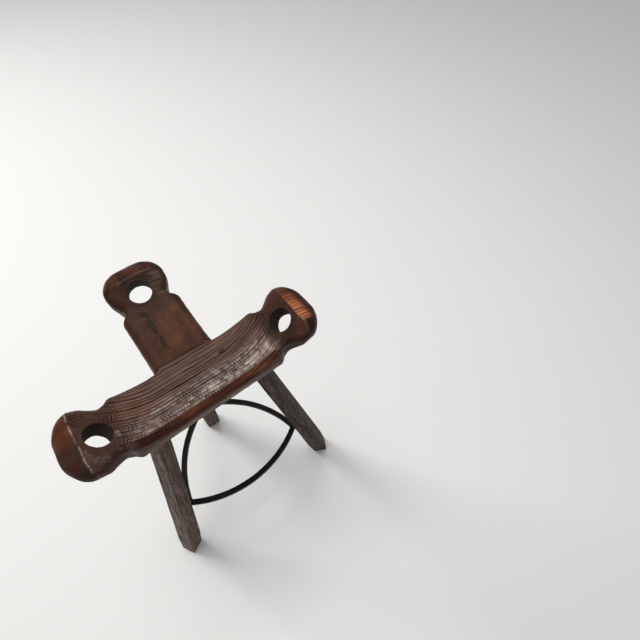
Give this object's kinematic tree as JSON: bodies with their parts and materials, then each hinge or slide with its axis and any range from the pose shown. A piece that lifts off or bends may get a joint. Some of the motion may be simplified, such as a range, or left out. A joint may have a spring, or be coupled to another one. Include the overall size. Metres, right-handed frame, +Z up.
{
  "type": "bar stool",
  "caption": "Backless bar stool: carved T-shaped wooden seat with upturned, pierced knobs, splayed square legs and a bowed iron footrest.",
  "frame": {"origin": "on the floor, under the middle of the stool's outer box", "axes": "+X along the crossbar of the seat, +Y from the crossbar towards the tail, +Z up"},
  "size_m": [0.492, 0.3582, 0.777],
  "materials": {
    "seat_wood": "dark stained softwood, brushed grain, satin wax",
    "leg_wood": "dark stained wood, dull",
    "peg_wood": "bare end grain",
    "footrest_iron": "black satin paint",
    "screw_steel": "darkened steel"
  },
  "bodies": {
    "root": {"seat_crossbar": "seat_wood", "seat_tail": "seat_wood", "tail_joint_pegs": "peg_wood", "leg_front_left": "leg_wood", "leg_front_right": "leg_wood", "leg_back": "leg_wood", "footrest_bar_front": "footrest_iron", "footrest_bar_left": "footrest_iron", "footrest_bar_right": "footrest_iron", "footrest_screws": "screw_steel"}
  },
  "joints": []
}
